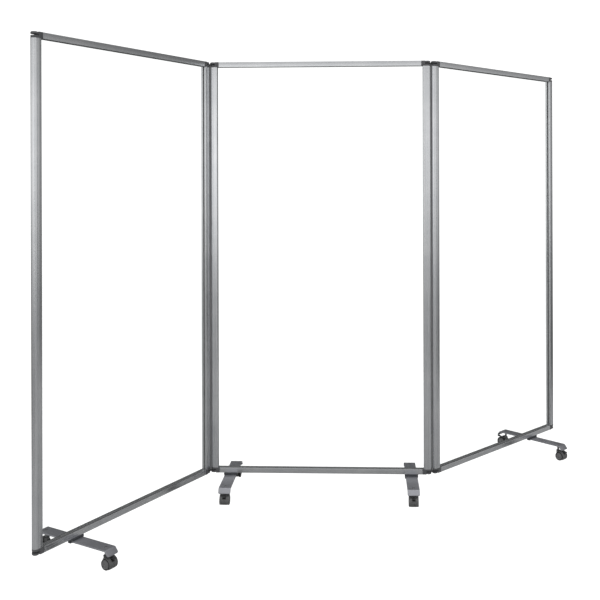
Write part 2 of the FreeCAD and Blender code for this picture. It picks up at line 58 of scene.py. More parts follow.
# Sizes of the CAD pieces that the detailed pieces stand for, in millimetres.
NOSE = 12.5
STILE_WIDTH = 32
RAIL_HEIGHT = 22
RAIL_EDGE = 2.5
CAP_LENGTH = 39
GROOVE_WIDTH = 8
GROOVE_DEPTH = 9
PIVOT_SPACING = 30.5
PIN_RADIUS = 3
PIN_LENGTH = 18
PIN_RECESS = 0.6
BORE_RADIUS = 3.08
BORE_DEPTH = 19
LINK_SLOT = (8.3, 13.7)
ARM_BASE = 3.5
LINK_EYE = 9
LINK_THICKNESS = 4.8
STRIP_GAP = 0.4
STRIP_DEPTH = 10
LEG_TOP = 70
LEG_THICKNESS = 5
LEG_WIDTH = 50
LEG_HALF_LENGTH = 167.5
SKIRT_LENGTH = 24
SKIRT_SLOPE = math.radians(52)
BEND_RADIUS = 9
SKIRT_CORNER = 6
CLAMP_TOP = 78
CLAMP_HALF = 14
EAR_BOTTOM = 62
EAR_TOP = 74
EAR_THICKNESS = 3
BOLT_OFFSET = 14
STEM_RADIUS = 4.5
STEM_FOOT = 24
TRAIL = 15
AXLE_HEIGHT = 19.5
WHEEL_RADIUS = 19.5
WHEEL_INNER = 10.3
WHEEL_OUTER = 19.8
WEB_HALF = 9.3
WEB_RADIUS = 18.5
HOOD_RADIUS = 22.8
HOOD_SKIN = 2.5
HOOD_FOOT = 5
HOOD_BACK = 2
SOCKET_RADIUS = 8.5
SOCKET_TOP = 43.5
BRAKE_REACH = 23
BRAKE_HEIGHT = 34
BRAKE_LENGTH = 23
BRAKE_RISE = math.radians(12)

SIDES = {"left": -1, "right": 1}
ENDS = {"front": -1, "rear": 1}
Z_TO_X = Matrix.Rotation(math.radians(90), 4, "Y")
XYZ_TO_YZX = Matrix(((0, 0, 1, 0), (1, 0, 0, 0), (0, 1, 0, 0), (0, 0, 0, 1)))
RIM_STEPS = 3


# ---------------------------------------------------------------- materials

def connect(tree, links):
    """Joins each pair of an output and an input."""
    for start, end in links:
        tree.links.new(start, end)


class Paint:
    """A material under construction: its node tree and its Principled shader."""

    def __init__(self, name, **values):
        self.material = bpy.data.materials.new(name)
        self.material.use_nodes = True
        self.tree = self.material.node_tree
        self.shader = self.tree.nodes["Principled BSDF"]
        for socket, value in values.items():
            self.shader.inputs[socket.replace("_", " ")].default_value = value

    def node(self, kind, **inputs):
        """A node of this kind; each input is a value or another node's output."""
        made = self.tree.nodes.new("ShaderNode" + kind)
        for socket, value in inputs.items():
            target = made.inputs[socket.replace("_", " ")]
            if isinstance(value, bpy.types.NodeSocket):
                self.tree.links.new(value, target)
            else:
                target.default_value = value
        return made

    def place(self, scale=(1, 1, 1)):
        """Object coordinates, stretched."""
        coordinates = self.node("TexCoord").outputs["Object"]
        return self.node("Mapping", Vector=coordinates, Scale=scale).outputs[0]

    def noise(self, place, scale, detail=2.0):
        return self.node("TexNoise", Vector=place, Scale=scale, Detail=detail).outputs[0]

    def between(self, source, low, high, start=0.3, stop=0.7):
        """source, spread from start..stop onto low..high."""
        spread = self.node("MapRange", Value=source, From_Min=start, From_Max=stop, To_Min=low, To_Max=high)
        return spread.outputs[0]

    def colour(self, source, dark, light, start=0.3, stop=0.7):
        """Base colour that runs from dark to light with source."""
        ramp = self.tree.nodes.new("ShaderNodeValToRGB")
        ramp.color_ramp.elements[0].position = start
        ramp.color_ramp.elements[0].color = (*dark, 1)
        ramp.color_ramp.elements[1].position = stop
        ramp.color_ramp.elements[1].color = (*light, 1)
        self.tree.links.new(source, ramp.inputs[0])
        self.tree.links.new(ramp.outputs[0], self.shader.inputs["Base Color"])

    def roughness(self, source):
        self.tree.links.new(source, self.shader.inputs["Roughness"])

    def bump(self, source, height, strength=1.0, under=None):
        """Relief of this height in metres; under is the relief that it lies on."""
        relief = self.node("Bump", Height=source, Distance=height, Strength=strength)
        if under is not None:
            self.tree.links.new(under, relief.inputs["Normal"])
        self.tree.links.new(relief.outputs[0], self.shader.inputs["Normal"])
        return relief.outputs[0]


def anodised_aluminium(name, direction):
    """Satin anodised extrusion with die lines that run in the piece's own direction "x" or "z"."""
    paint = Paint(name, Metallic=1.0)
    stretch = (1, 1, 0.004) if direction == "z" else (0.004, 1, 1)
    lines = paint.noise(paint.place(stretch), 2600, 3)
    bands = paint.noise(paint.place(stretch), 320, 2)
    cloud = paint.noise(paint.place(), 9, 3)
    paint.colour(cloud, (0.66, 0.675, 0.695), (0.74, 0.75, 0.765))
    paint.roughness(paint.between(bands, 0.2, 0.29))
    paint.bump(lines, 0.00001, 0.35)
    return paint.material


def moulded_plastic(name, colour, roughness, grain=2400, relief=0.00003):
    """Injection moulded plastic with an eroded texture and a little unevenness in its gloss."""
    paint = Paint(name, Specular_IOR_Level=0.5)
    cloud = paint.noise(paint.place(), 70, 3)
    speck = paint.noise(paint.place(), grain, 3)
    paint.colour(cloud, tuple(0.86 * c for c in colour), tuple(1.12 * c for c in colour))
    paint.roughness(paint.between(cloud, roughness - 0.06, roughness + 0.06))
    paint.bump(speck, relief, 0.6)
    return paint.material


def powder_coat(name, colour):
    """Fine-textured metallic powder coat: orange peel under a sharper grain."""
    paint = Paint(name, Metallic=0.6, Specular_IOR_Level=0.5)
    peel = paint.noise(paint.place(), 420, 2)
    grain = paint.noise(paint.place(), 2200, 3)
    paint.colour(grain, tuple(0.85 * c for c in colour), tuple(1.18 * c for c in colour))
    paint.roughness(paint.between(peel, 0.3, 0.4))
    base = paint.bump(peel, 0.00006, 0.5)
    paint.bump(grain, 0.000025, 0.6, under=base)
    return paint.material


def zinc_plate(name, colour, roughness):
    """Plated steel with faint turning marks and blotches."""
    paint = Paint(name, Metallic=1.0)
    marks = paint.noise(paint.place((1, 1, 6)), 900, 2)
    blotches = paint.noise(paint.place(), 260, 3)
    paint.colour(blotches, tuple(0.8 * c for c in colour), colour)
    paint.roughness(paint.between(blotches, roughness - 0.07, roughness + 0.08))
    paint.bump(marks, 0.00002, 0.4)
    return paint.material


def soft_rubber(name, colour):
    """Matt rubber with a fine extruded skin."""
    paint = Paint(name, Specular_IOR_Level=0.35)
    streaks = paint.noise(paint.place((1, 1, 0.01)), 1500, 3)
    paint.colour(streaks, tuple(0.8 * c for c in colour), tuple(1.15 * c for c in colour))
    paint.roughness(paint.between(streaks, 0.6, 0.75))
    paint.bump(streaks, 0.00004, 0.5)
    return paint.material


def clear_sheet(name):
    """Clear sheet: see-through, its outer faces mirroring by their angle, with a faint waviness."""
    material = bpy.data.materials.new(name)
    material.use_nodes = True
    tree = material.node_tree
    tree.nodes.remove(tree.nodes["Principled BSDF"])
    out = tree.nodes["Material Output"]
    coordinates = tree.nodes.new("ShaderNodeTexCoord")
    waves = tree.nodes.new("ShaderNodeTexNoise")
    waves.inputs["Scale"].default_value = 6
    relief = tree.nodes.new("ShaderNodeBump")
    relief.inputs["Distance"].default_value = 0.0003
    relief.inputs["Strength"].default_value = 0.25
    fresnel = tree.nodes.new("ShaderNodeFresnel")
    fresnel.inputs["IOR"].default_value = 1.49
    geometry = tree.nodes.new("ShaderNodeNewGeometry")
    front = tree.nodes.new("ShaderNodeMath")
    front.operation = "SUBTRACT"
    front.inputs[0].default_value = 1
    mirror_share = tree.nodes.new("ShaderNodeMath")
    mirror_share.operation = "MULTIPLY"
    see_through = tree.nodes.new("ShaderNodeBsdfTransparent")
    see_through.inputs["Color"].default_value = (0.99, 0.995, 0.993, 1)
    gloss = tree.nodes.new("ShaderNodeBsdfGlossy")
    gloss.inputs["Roughness"].default_value = 0.03
    mix = tree.nodes.new("ShaderNodeMixShader")
    links = (
        (coordinates.outputs["Object"], waves.inputs["Vector"]),
        (waves.outputs[0], relief.inputs["Height"]),
        (relief.outputs[0], gloss.inputs["Normal"]),
        (geometry.outputs["Backfacing"], front.inputs[1]),
        (fresnel.outputs[0], mirror_share.inputs[0]),
        (front.outputs[0], mirror_share.inputs[1]),
        (mirror_share.outputs[0], mix.inputs[0]),
        (see_through.outputs[0], mix.inputs[1]),
        (gloss.outputs[0], mix.inputs[2]),
        (mix.outputs[0], out.inputs["Surface"]),
    )
    connect(tree, links)
    return material


# ---------------------------------------------------------------- mesh making

def rounded(corners, steps=4):
    """The closed outline through corners (x, y, radius), each corner a curve of about its radius."""
    outline = []
    count = len(corners)
    for n, (x, y, radius) in enumerate(corners):
        corner = Vector((x, y))
        if radius <= 0:
            outline.append(tuple(corner))
            continue
        back = Vector(corners[n - 1][:2]) - corner
        ahead = Vector(corners[(n + 1) % count][:2]) - corner
        turn = math.pi - back.angle(ahead)
        reach = min(radius * math.tan(turn / 2), 0.49 * back.length, 0.49 * ahead.length)
        start = corner + reach * back.normalized()
        end = corner + reach * ahead.normalized()
        for step in range(steps + 1):
            t = step / steps
            point = (1 - t) ** 2 * start + 2 * t * (1 - t) * corner + t ** 2 * end
            outline.append(tuple(point))
    return outline


def arc(centre, radius, start, stop, steps):
    """Points on an arc, angles in degrees."""
    points = []
    for step in range(steps + 1):
        angle = math.radians(start + (stop - start) * step / steps)
        points.append((centre[0] + radius * math.cos(angle), centre[1] + radius * math.sin(angle)))
    return points


def inset(outline, distance):
    """The outline moved inwards by distance; it runs counter-clockwise."""
    moved = []
    count = len(outline)
    for n, point in enumerate(outline):
        here = Vector(point)
        before = (here - Vector(outline[n - 1])).normalized()
        after = (Vector(outline[(n + 1) % count]) - here).normalized()
        normal = Vector((-before.y - after.y, before.x + after.x))
        if normal.length < 1e-6:
            normal = Vector((-before.y, before.x))
        normal.normalize()
        share = max(0.5, normal.dot(Vector((-before.y, before.x))))
        moved.append(tuple(here + normal * distance / share))
    return moved


def anticlockwise(outline):
    area = sum(a[0] * b[1] - b[0] * a[1] for a, b in zip(outline, outline[1:] + outline[:1]))
    return outline if area > 0 else outline[::-1]


def new_mesh(name, points, faces, smooth=35.0):
    """A mesh from points in millimetres, with edges sharper than smooth degrees left sharp."""
    mesh = bpy.data.meshes.new(name)
    mesh.from_pydata([Vector(p) * MM for p in points], [], faces)
    work = bmesh.new()
    work.from_mesh(mesh)
    bmesh.ops.remove_doubles(work, verts=work.verts, dist=1e-6)
    bmesh.ops.recalc_face_normals(work, faces=work.faces)
    work.to_mesh(mesh)
    work.free()
    return smoothed(mesh, smooth)


def smoothed(mesh, angle=35.0):
    mesh.polygons.foreach_set("use_smooth", [True] * len(mesh.polygons))
    mesh.set_sharp_from_angle(angle=math.radians(angle))
    mesh.update()
    return mesh


def skin(rings, count):
    """Faces that join rings of count points each and close both ends."""
    faces = []
    for ring in range(rings - 1):
        for n in range(count):
            a = ring * count + n
            b = ring * count + (n + 1) % count
            faces.append((a, b, b + count, a + count))
    return faces + [tuple(reversed(range(count))), tuple(range((rings - 1) * count, rings * count))]


def prism(name, outline, low, high, edge=0.0, turn=None):
    """outline (x, y) drawn out from z = low to high, with both rims rounded by edge."""
    outline = anticlockwise(outline)
    levels = [(low, 0.0)]
    if edge:
        angles = [math.pi / 2 * n / RIM_STEPS for n in range(RIM_STEPS + 1)]
        levels = sorted((low + edge * (1 - math.sin(a)), edge * (1 - math.cos(a))) for a in angles)
    levels += [(low + high - z, shrink) for z, shrink in reversed(levels)]
    points = []
    for z, shrink in levels:
        ring = inset(outline, shrink) if shrink > 0 else outline
        points += [(x, y, z) for x, y in ring]
    mesh = new_mesh(name, points, skin(len(levels), len(outline)))
    if turn is not None:
        mesh.transform(turn)
    return mesh


def lathe(name, profile, steps=48, turn=None):
    """The closed profile (radius, z) turned about z."""
    points, faces = [], []
    count = len(profile)
    for step in range(steps):
        angle = 2 * math.pi * step / steps
        points += [(r * math.cos(angle), r * math.sin(angle), z) for r, z in profile]
    for step in range(steps):
        following = (step + 1) % steps
        for n in range(count):
            m = (n + 1) % count
            if profile[n][0] == 0 and profile[m][0] == 0:
                continue
            faces.append((step * count + n, following * count + n, following * count + m, step * count + m))
    mesh = new_mesh(name, points, faces)
    if turn is not None:
        mesh.transform(turn)
    return mesh


def block(name, x, y, z, edge=0.4):
    """A block between (low, high) along each axis, with every edge rounded."""
    corner = 1.6 * edge  # wider than the rim's rounding, so that the inset rings don't cross themselves
    corners = [(x[0], y[0], corner), (x[1], y[0], corner), (x[1], y[1], corner), (x[0], y[1], corner)]
    return prism(name, rounded(corners, 3), z[0], z[1], edge)


def moved(mesh, x=0.0, y=0.0, z=0.0):
    """The mesh itself, shifted by millimetres."""
    mesh.transform(Matrix.Translation(Vector((x, y, z)) * MM))
    return mesh


def joined(name, *meshes):
    """One mesh that holds all of these."""
    work = bmesh.new()
    for mesh in meshes:
        work.from_mesh(mesh)
    result = bpy.data.meshes.new(name)
    work.to_mesh(result)
    work.free()
    return smoothed(result)


def carved(name, base, add=(), remove=(), edge=0.0):
    """base with other meshes added and removed, its sharp edges softened by edge millimetres."""
    holder = bpy.data.objects.new(name + "_work", base)
    bpy.context.scene.collection.objects.link(holder)
    tools = []
    for operation, meshes in (("UNION", add), ("DIFFERENCE", remove)):
        for mesh in meshes:
            tool = bpy.data.objects.new(name + "_tool", mesh)
            bpy.context.scene.collection.objects.link(tool)
            tools.append(tool)
            step = holder.modifiers.new(operation, "BOOLEAN")
            step.operation = operation
            step.solver = "EXACT"
            step.object = tool
    if edge:
        soften = holder.modifiers.new("Soften", "BEVEL")
        soften.width = edge * MM
        soften.segments = 2
        soften.limit_method = "ANGLE"
        soften.angle_limit = math.radians(40)
        soften.use_clamp_overlap = True
        soften.miter_outer = "MITER_ARC"
    bpy.context.view_layer.update()
    graph = bpy.context.evaluated_depsgraph_get()
    result = bpy.data.meshes.new_from_object(holder.evaluated_get(graph), depsgraph=graph)
    result.name = name
    for used in [holder] + tools:
        bpy.data.objects.remove(used)
    return smoothed(result)


# ---------------------------------------------------------------- shapes of the pieces

def stile_mesh(length):
    """Upright extrusion about its nose centre: round nose, score line, groove for the panel towards +x."""
    face = STILE_WIDTH - NOSE
    half = GROOVE_WIDTH / 2
    floor = face - GROOVE_DEPTH
    depth = NOSE - 0.7
    far = [(1, NOSE, 0.15), (1, depth, 0.1), (2, depth, 0.1), (2, NOSE, 0.15), (face, NOSE, 0.8),
           (face, half, 0.4), (floor, half, 0.3), (floor, -half, 0.3), (face, -half, 0.4), (face, -NOSE, 0.8),
           (2, -NOSE, 0.15), (2, -depth, 0.1), (1, -depth, 0.1), (1, -NOSE, 0.15)]
    nose = arc((0, 0), NOSE, -90, -270, 40)
    outline = rounded([(x, y, 0) for x, y in nose] + far, 3)
    return prism("stile", outline, 0, length)


def rail_mesh(length):
    """Level extrusion from its underside, centred on x, with its groove upwards."""
    half = GROOVE_WIDTH / 2
    floor = RAIL_HEIGHT - GROOVE_DEPTH
    corners = [(-NOSE, 0, RAIL_EDGE), (NOSE, 0, RAIL_EDGE), (NOSE, RAIL_HEIGHT, 0.8),
               (half, RAIL_HEIGHT, 0.4), (half, floor, 0.3), (-half, floor, 0.3),
               (-half, RAIL_HEIGHT, 0.4), (-NOSE, RAIL_HEIGHT, 0.8)]
    return prism("rail", rounded(corners, 6), -length / 2, length / 2, turn=XYZ_TO_YZX)


def cap_mesh():
    """Bottom left corner cap about its hinge bore: domed column, notched arm, link slot and pin bore."""
    dome = arc((NOSE - 5, 5), 5, -80, 0, 8)
    profile = [(0, 0), (NOSE - 5, 0)] + dome + [(NOSE, RAIL_HEIGHT), (0, RAIL_HEIGHT)]
    column = lathe("cap_column", profile, 64)
    arm_end = CAP_LENGTH - NOSE
    arm = block("cap_arm", (0, arm_end), (-NOSE, NOSE), (ARM_BASE, RAIL_HEIGHT), 0.3)
    outline = rounded([(9, -NOSE, 2), (arm_end, -NOSE, 2), (arm_end, NOSE, 2), (9, NOSE, 2)])
    foot = prism("cap_foot", outline, 0, 8, 1.2)
    slot = block("cap_slot", (-2 * NOSE, 9.6), (-2 * NOSE, 2 * NOSE), LINK_SLOT, 0.2)
    mouth = [(0, -1), (3.9, -1), (BORE_RADIUS, 0.8)]
    bore = lathe("cap_bore", mouth + [(BORE_RADIUS, BORE_DEPTH), (0, BORE_DEPTH)], 40)
    half = GROOVE_WIDTH / 2
    groove = block("cap_groove", (STILE_WIDTH - NOSE - GROOVE_DEPTH, 2 * CAP_LENGTH), (-half, half),
                   (RAIL_HEIGHT - GROOVE_DEPTH, 2 * RAIL_HEIGHT), 0.2)
    return carved("cap", column, add=(arm, foot), remove=(slot, bore, groove), edge=0.35)


def link_mesh():
    """Dog-bone link plate, its first eye on the origin and its second along +x."""
    outline = arc((0, 0), LINK_EYE, 90, 270, 24) + arc((PIVOT_SPACING, 0), LINK_EYE, -90, 90, 24)
    return prism("link", outline, 0, LINK_THICKNESS, 0.6)


def pin_mesh():
    """Hinge pin with a chamfered end and a small centre mark."""
    end = PIN_LENGTH
    profile = [(0, 0), (2.4, 0), (PIN_RADIUS, 0.6), (PIN_RADIUS, end - 0.6), (2.4, end), (0.9, end),
               (0, end - 0.7)]
    return lathe("pin", profile, 32)


def gap_strip_mesh(length):
    """Rubber strip between the two noses of a hinge, grooved along both faces."""
    start = NOSE + STRIP_GAP
    stop = PIVOT_SPACING - start
    middle = PIVOT_SPACING / 2
    half = STRIP_DEPTH / 2
    dip = half - 0.6
    corners = [(start, -half, 0.8), (middle - 0.7, -half, 0.2), (middle - 0.3, -dip, 0.2),
               (middle + 0.3, -dip, 0.2), (middle + 0.7, -half, 0.2), (stop, -half, 0.8)]
    corners += [(x, -y, radius) for x, y, radius in reversed(corners)]
    return prism("gap_strip", rounded(corners, 3), 0, length)


def leg_stations():
    """Along the leg's top, tip to tip: place y, z, outward normal y, z, and distance to the nearer tip."""
    tangent = BEND_RADIUS * math.tan(SKIRT_SLOPE / 2)
    bend_y = LEG_HALF_LENGTH - tangent
    bend_length = BEND_RADIUS * SKIRT_SLOPE
    straight = SKIRT_LENGTH - tangent
    stations = []
    for distance in (0, 0.2, 0.5, 1, 2, 3.2, 4.5, SKIRT_CORNER, 12):
        share = SKIRT_LENGTH - distance
        y = LEG_HALF_LENGTH + share * math.cos(SKIRT_SLOPE)
        z = LEG_TOP - share * math.sin(SKIRT_SLOPE)
        stations.append((y, z, math.sin(SKIRT_SLOPE), math.cos(SKIRT_SLOPE), distance))
    steps = 14
    for step in range(steps + 1):
        angle = SKIRT_SLOPE * (1 - step / steps)
        y = bend_y + BEND_RADIUS * math.sin(angle)
        z = LEG_TOP - BEND_RADIUS + BEND_RADIUS * math.cos(angle)
        stations.append((y, z, math.sin(angle), math.cos(angle), straight + bend_length * step / steps))
    for y in (150, 100, 50, 0):
        stations.append((y, LEG_TOP, 0, 1, 2 * SKIRT_LENGTH))
    return stations + [(-y, z, -ny, nz, distance) for y, z, ny, nz, distance in reversed(stations[:-1])]


def leg_mesh():
    """Bent steel strip with rounded long edges and rounded skirt corners."""
    points = []
    edge = 1.3
    stations = leg_stations()
    for y, z, normal_y, normal_z, distance in stations:
        shrink = max(0.0, 0.9 - distance) * 0.9
        half = LEG_WIDTH / 2
        if distance < SKIRT_CORNER:
            half -= SKIRT_CORNER - math.sqrt(SKIRT_CORNER ** 2 - (SKIRT_CORNER - distance) ** 2)
        half -= 0.3 * shrink
        low = -LEG_THICKNESS + shrink
        high = -shrink
        section = rounded([(-half, low, edge), (half, low, edge), (half, high, edge), (-half, high, edge)], 4)
        points += [(x, y + depth * normal_y, z + depth * normal_z) for x, depth in section]
    return new_mesh("leg", points, skin(len(stations), len(section)), 50)


def clamp_mesh():
    """Saddle between a leg and the rail, with a rounded ear down each side of the strip."""
    inner = LEG_WIDTH / 2
    outer = inner + EAR_THICKNESS
    saddle = block("clamp_saddle", (-outer, outer), (-CLAMP_HALF, CLAMP_HALF), (LEG_TOP, CLAMP_TOP), 1.2)
    ears = [block("clamp_ear", ends, (-7, 7), (EAR_BOTTOM, EAR_TOP), 0.9)
            for ends in ((-outer, -inner), (inner, outer))]
    return carved("clamp", saddle, add=ears, edge=0.25)


def hex_outline(radius):
    angles = [math.radians(a) for a in range(30, 390, 60)]
    return [(radius * math.cos(a), radius * math.sin(a)) for a in angles]


def stem_mesh():
    """Caster stem from its rivet head down: domed head, washer, lock nut with its nylon ring, and shaft."""
    top, under = LEG_TOP, LEG_TOP - LEG_THICKNESS
    profile = [(0, top), (6, top), (5.2, top + 0.7), (3, top + 1.35), (0, top + 1.5)]
    head = lathe("stem_head", profile, 32)
    profile = [(0, under), (7.8, under), (8, under - 0.3), (8, under - 0.9), (0, under - 0.9)]
    washer = lathe("stem_washer", profile, 40)
    outline = rounded([(x, y, 0.8) for x, y in hex_outline(6.5)], 3)
    nut = prism("stem_nut", outline, under - 4.4, under - 0.7, 0.5)
    profile = [(0, under - 4), (5.4, under - 4), (5.4, under - 5.2), (4.9, under - 5.6), (0, under - 5.6)]
    collar = lathe("stem_collar", profile, 32)
    profile = [(0, STEM_FOOT), (STEM_RADIUS - 0.6, STEM_FOOT), (STEM_RADIUS, STEM_FOOT + 0.6),
               (STEM_RADIUS, under - 4), (0, under - 4)]
    shaft = lathe("stem_shaft", profile, 32)
    return joined("stem", head, washer, nut, collar, shaft)


def bolt_mesh():
    """Flanged hex bolt head, hanging below z = 0."""
    flange = lathe("bolt_flange", [(0, 0), (7.6, 0), (7.8, -0.5), (7.2, -1.3), (5.6, -1.8), (0, -1.8)], 40)
    outline = rounded([(x, y, 0.9) for x, y in hex_outline(5.7)], 3)
    head = prism("bolt_head", outline, -5.4, -1.4, 0.5)
    mark = lathe("bolt_mark", [(0, -7), (3.4, -7), (3.0, -5.0), (0, -4.9)], 32)
    return carved("bolt", head, add=(flange,), remove=(mark,))


def about_axle(mesh):
    """A mesh turned about z, laid along x through the axle."""
    mesh.transform(Z_TO_X)
    return moved(mesh, 0, TRAIL, AXLE_HEIGHT)


def hood_cover():
    """The curved cover over the front and top of both wheels, swept about the axle."""
    inner = HOOD_RADIUS - HOOD_SKIN
    across = (-WHEEL_OUTER, -19, -17, -13, -7, 0, 7, 13, 17, 19, WHEEL_OUTER)
    outer = [(x, HOOD_RADIUS - 0.9 * abs(x / WHEEL_OUTER) ** 3.5) for x in across]
    section = [(-WHEEL_OUTER, inner, 0.5)] + [(x, r, 0.9 if abs(x) == WHEEL_OUTER else 0) for x, r in outer]
    section = rounded(section + [(WHEEL_OUTER, inner, 0.5)], 4)
    first = math.degrees(math.asin((HOOD_FOOT - AXLE_HEIGHT) / HOOD_RADIUS))
    last = math.degrees(math.acos((HOOD_BACK - TRAIL) / HOOD_RADIUS))
    steps = 44
    points = []
    for step in range(steps + 1):
        angle = math.radians(first + (last - first) * step / steps)
        points += [(x, TRAIL + r * math.cos(angle), AXLE_HEIGHT + r * math.sin(angle)) for x, r in section]
    return new_mesh("hood_cover", points, skin(steps + 1, len(section)))


def hood_mesh():
    """Swivelling caster body: cover, web between the wheels, stem socket, brake pocket and drain slots."""
    inner = HOOD_RADIUS - HOOD_SKIN / 2
    front = arc((TRAIL, AXLE_HEIGHT), inner, -40, 100, 36)
    rear = arc((TRAIL, AXLE_HEIGHT), WEB_RADIUS, 125, 231, 28)
    outline = [p for p in front + rear if p[1] >= HOOD_FOOT]
    outline += [(rear[-1][0], HOOD_FOOT), (front[0][0], HOOD_FOOT)]
    web = prism("hood_web", outline, -WEB_HALF, WEB_HALF, 0.8, turn=XYZ_TO_YZX)
    profile = [(0, 22), (SOCKET_RADIUS, 22), (SOCKET_RADIUS, 40.6), (SOCKET_RADIUS + 0.6, 41.4),
               (SOCKET_RADIUS + 0.6, 42.8), (SOCKET_RADIUS - 0.2, SOCKET_TOP), (5.6, SOCKET_TOP),
               (4.6, SOCKET_TOP - 0.9), (4.6, 30), (0, 30)]
    socket = lathe("hood_socket", profile, 48)
    pocket = block("hood_pocket", (-6.5, 6.5), (19, 57), (28, 56), 0.8)
    slit = block("hood_slit", (-4.2, -2.4), (33, 60), (12.5, 18.5), 0.5)
    eye = lathe("hood_eye", [(0, 33), (1.3, 33), (1.3, 60), (0, 60)], 20)
    eye.transform(Matrix.Rotation(math.radians(-90), 4, "X"))
    moved(eye, 3.6, 0, 23)
    foot_slot = block("hood_foot_slot", (-6, 6), (30, 60), (7.2, 8.6), 0.4)
    return carved("hood", hood_cover(), add=(web, socket), remove=(pocket, slit, eye, foot_slot), edge=0.25)


def tread_mesh():
    """Both wheels' running rims."""
    inner, outer, radius = WHEEL_INNER, WHEEL_OUTER, WHEEL_RADIUS
    profile = ([(15.8, inner + 0.6), (16.2, inner)] + arc((radius - 2.2, inner + 2.2), 2.2, -90, 0, 6)
               + arc((radius - 2.2, outer - 2.2), 2.2, 0, 90, 6) + [(16.2, outer), (15.8, outer - 0.5)])
    right = lathe("tread_right", profile, 72)
    left = lathe("tread_left", [(r, -x) for r, x in profile][::-1], 72)
    return about_axle(joined("tread", left, right))


def hub_mesh():
    """Both wheels' hub discs, dished about a centre boss, and the axle between them."""
    inner, outer = WHEEL_INNER, WHEEL_OUTER
    dish = ((15.85, 0.9), (15.3, 0.5), (13.2, 0.45), (12.6, 1.1), (7.4, 1.5), (6.6, 0.8), (4.2, 0.55),
            (3.4, 1.3), (1.6, 1.35), (0, 1.2))
    face = [(radius, outer - depth) for radius, depth in dish]
    profile = [(0, inner + 0.5), (15.2, inner + 0.5), (15.85, inner + 1)] + face
    right = lathe("hub_right", profile, 72)
    left = lathe("hub_left", [(r, -x) for r, x in profile][::-1], 72)
    axle = lathe("hub_axle", [(0, -inner - 1), (3, -inner - 1), (3, inner + 1), (0, inner + 1)], 32)
    return about_axle(joined("hub", left, right, axle))


def brake_mesh():
    """Brake pedal: a barrel on its pin and a flared tab with grip ribs."""
    corners = [(-6, 0, 1.2), (-6, 14, 2.5), (-8, 17.5, 2), (-8, BRAKE_LENGTH, 2.6), (8, BRAKE_LENGTH, 2.6),
               (8, 17.5, 2), (6, 14, 2.5), (6, 0, 1.2)]
    plate = prism("brake_plate", rounded(corners, 5), 0.6, 3.2, 0.7)
    profile = [(0, -6), (2.7, -6), (3.2, -5.5), (3.2, 5.5), (2.7, 6), (0, 6)]
    barrel = lathe("brake_barrel", profile, 36, turn=Z_TO_X)
    ribs = [block("brake_rib", (-5.6, 5.6), (y, y + 1.1), (2.6, 3.9), 0.35) for y in (15.6, 17.8, 20.0)]
    mesh = carved("brake", plate, add=[barrel] + ribs)
    mesh.transform(Matrix.Rotation(BRAKE_RISE, 4, "X"))
    return moved(mesh, 0, BRAKE_REACH, BRAKE_HEIGHT)


# ---------------------------------------------------------------- places

joints = {joint["name"]: joint for joint in frame["joints"]}


def on_floor(joint):
    """Where a joint's axis stands on the floor."""
    x, y, _ = joints[joint]["pos_m"]
    return Vector((x, y, 0))


def placement(origin, along):
    """Origin and turn about z that carry the local x axis onto along."""
    return Matrix.Translation(origin) @ Matrix.Rotation(math.atan2(along.y, along.x), 4, "Z")


def leg_name(section, key):
    return section if key == "outer" else f"{section}_{key}"


def leg_middle(where):
    """Middle of a leg on the floor, between its two casters' stems."""
    return (on_floor(f"swivel_{where}_front") + on_floor(f"swivel_{where}_rear")) / 2


LEGS = {"centre": ["left", "right"], "left_wing": ["outer"], "right_wing": ["outer"]}
pivots = {side: (on_floor(f"{side}_fold_at_centre"), on_floor(f"{side}_fold_at_wing")) for side in SIDES}
half_span = (pivots["right"][0] - pivots["left"][0]).length / 2
section_width = 2 * half_span + 2 * NOSE * MM
along = {"centre": (pivots["right"][0] - pivots["left"][0]).normalized()}
middle = {"centre": (pivots["left"][0] + pivots["right"][0]) / 2}
for side_name, side_sign in SIDES.items():
    wing = side_name + "_wing"
    pivot = pivots[side_name][1]
    outward = (leg_middle(wing) - pivot).normalized()
    along[wing] = side_sign * outward
    middle[wing] = pivot + half_span * outward
section_place = {name: placement(middle[name], along[name]) for name in along}
frame_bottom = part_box("centre_corner_caps")[0].z
frame_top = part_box("centre_corner_caps")[1].z


# ---------------------------------------------------------------- making the pieces

materials = {
    "panel": clear_sheet("clear_panel"),
    "cap": moulded_plastic("cap_plastic", (0.115, 0.117, 0.123), 0.42),
    "link": moulded_plastic("link_plastic", (0.02, 0.02, 0.022), 0.4),
    "clamp": moulded_plastic("clamp_plastic", (0.06, 0.063, 0.072), 0.45),
    "hood": moulded_plastic("hood_plastic", (0.14, 0.141, 0.143), 0.4),
    "tread": moulded_plastic("tread_plastic", (0.018, 0.018, 0.019), 0.5),
    "hub": moulded_plastic("hub_plastic", (0.21, 0.211, 0.214), 0.38),
    "brake": moulded_plastic("brake_plastic", (0.045, 0.045, 0.047), 0.38),
    "gasket": soft_rubber("gasket_rubber", (0.3, 0.305, 0.31)),
    "strip": soft_rubber("strip_rubber", (0.28, 0.282, 0.286)),
    "leg": powder_coat("leg_coat", (0.38, 0.385, 0.415)),
    "pin": zinc_plate("pin_plate", (0.5, 0.5, 0.51), 0.32),
    "stem": zinc_plate("stem_plate", (0.3, 0.3, 0.31), 0.38),
    "bolt": zinc_plate("bolt_plate", (0.22, 0.22, 0.23), 0.36),
}


def add_piece(name, mesh, place, body, material, replaces=()):
    """One shown piece: a mesh at its place, riding on a body and standing for CAD nodes."""
    piece = bpy.data.objects.new(name, mesh)
    bpy.context.scene.collection.objects.link(piece)
    if not mesh.materials:
        mesh.materials.append(None)
    piece.material_slots[0].link = "OBJECT"
    piece.material_slots[0].material = material
    piece.matrix_world = place
    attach(piece, body)
    if replaces:
        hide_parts(*replaces)
    return piece


